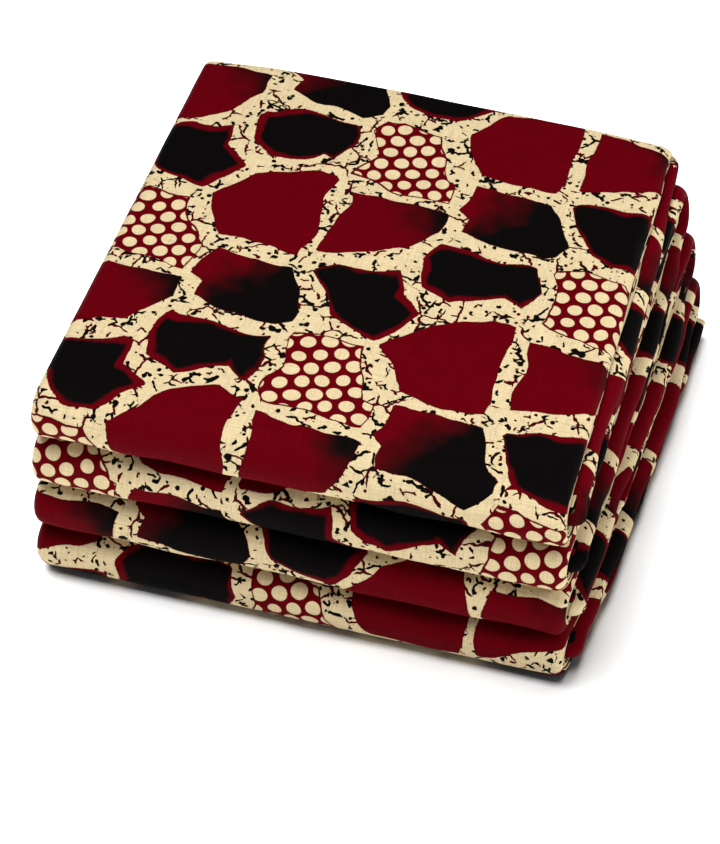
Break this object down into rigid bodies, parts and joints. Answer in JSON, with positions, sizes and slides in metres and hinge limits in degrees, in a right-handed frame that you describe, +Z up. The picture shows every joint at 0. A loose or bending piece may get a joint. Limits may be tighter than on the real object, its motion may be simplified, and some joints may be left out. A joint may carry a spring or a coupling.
{
  "type": "folded ankara fabric",
  "caption": "Length of wax-printed cotton, folded into a thick square pad with rounded turns, lying flat.",
  "frame": {"origin": "on the table, under the middle of the folded pile", "axes": "+Z up through the layers, +Y from the round front turns to the back ends, +X towards the woven edges and closed folds on the right"},
  "size_m": [0.3178, 0.3118, 0.1371],
  "materials": {
    "inner_layers": "plain woven printed cotton, matt, edges of many layers",
    "printed_cotton": "plain woven cotton with a wax print in dark red, black and cream, matt with a faint sheen",
    "printed_cotton_folds": "the same wax-printed cotton, folded edges and back turns, matt with a faint sheen"
  },
  "bodies": {
    "root": {"hidden_layers": "inner_layers", "top_and_front_turn_1": "printed_cotton", "front_turn_2": "printed_cotton", "front_turn_3": "printed_cotton", "front_turn_4": "printed_cotton", "underside": "printed_cotton", "top_right_fold": "printed_cotton_folds", "back_turn_1": "printed_cotton_folds", "back_turn_2": "printed_cotton_folds", "back_turn_3": "printed_cotton_folds", "bottom_right_fold": "printed_cotton_folds"}
  },
  "joints": []
}
